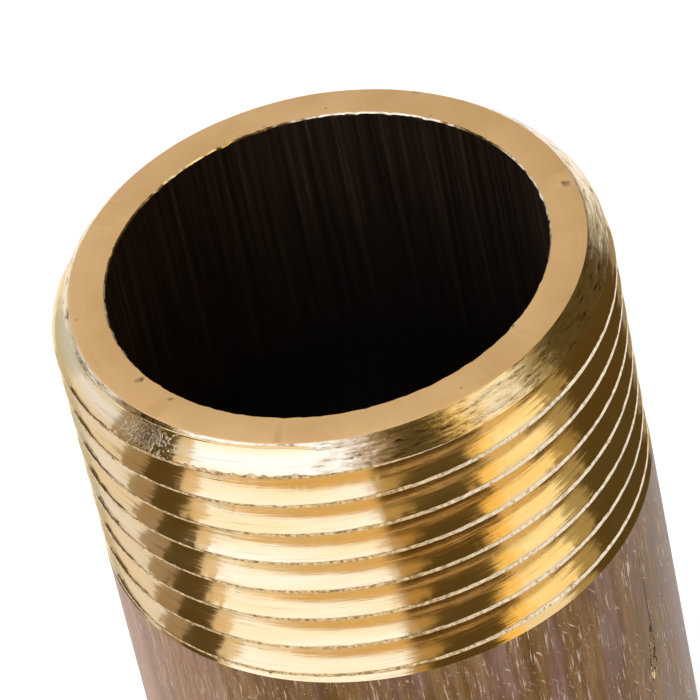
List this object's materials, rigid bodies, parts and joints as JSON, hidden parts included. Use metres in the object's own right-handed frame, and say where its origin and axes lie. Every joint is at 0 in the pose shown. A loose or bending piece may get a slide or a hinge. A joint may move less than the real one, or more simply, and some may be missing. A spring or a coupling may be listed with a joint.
{
  "type": "threaded pipe nipple",
  "caption": "Short length of brass tube with a right-hand parallel pipe thread on each end and a plain barrel between them, for joining two internally threaded fittings.",
  "frame": {"origin": "centre of the lower end face", "axes": "+Z along the tube, -Y to the front; the nipple stands on its lower end face"},
  "size_m": [0.0264, 0.0264, 0.06],
  "materials": {
    "brass": "turned bright brass on the threads and end faces, tarnished brown drawn skin on the barrel and in the bore"
  },
  "bodies": {
    "root": {"nipple_body": "brass"}
  },
  "joints": []
}
